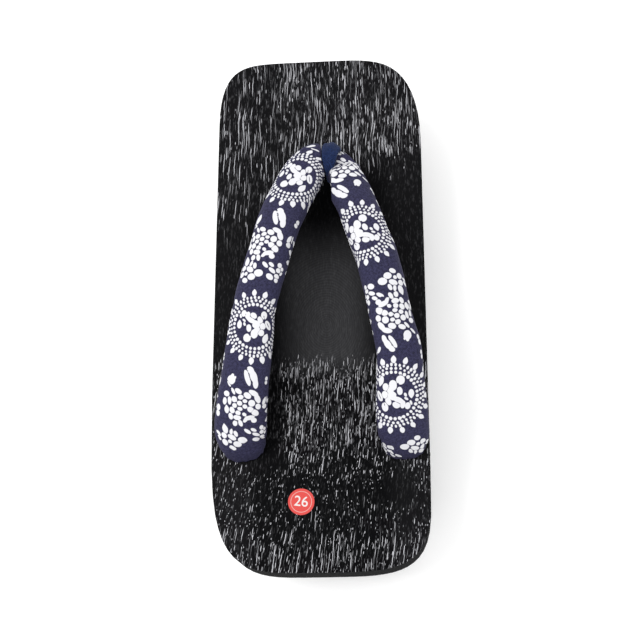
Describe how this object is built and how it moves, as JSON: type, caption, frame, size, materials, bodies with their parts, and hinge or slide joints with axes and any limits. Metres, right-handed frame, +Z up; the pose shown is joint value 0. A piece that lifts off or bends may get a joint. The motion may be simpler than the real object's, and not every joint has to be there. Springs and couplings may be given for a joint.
{
  "type": "geta sandal",
  "caption": "Left wooden geta sandal with a rounded flat deck, cross teeth, a padded V strap and a cloth toe loop.",
  "frame": {"origin": "on the floor, under the middle of the deck's bounding box", "axes": "+Y from heel to toe, +X to the big-toe side of the left foot, +Z up from the floor"},
  "size_m": [0.1058, 0.265, 0.0912],
  "materials": {
    "black_wood": "satin black lacquer over brushed open grain, with pale grain lines",
    "print_cloth": "matt navy cotton with a white traditional flower print",
    "blue_cloth": "matt blue cotton",
    "cord": "twisted black cord",
    "size_dot": "red paper sticker with white figures"
  },
  "bodies": {
    "root": {"deck": "black_wood", "front_tooth": "black_wood", "rear_tooth": "black_wood", "strap": "print_cloth", "toe_loop": "blue_cloth", "front_cord": "cord", "left_cord": "cord", "right_cord": "cord"}
  },
  "joints": []
}
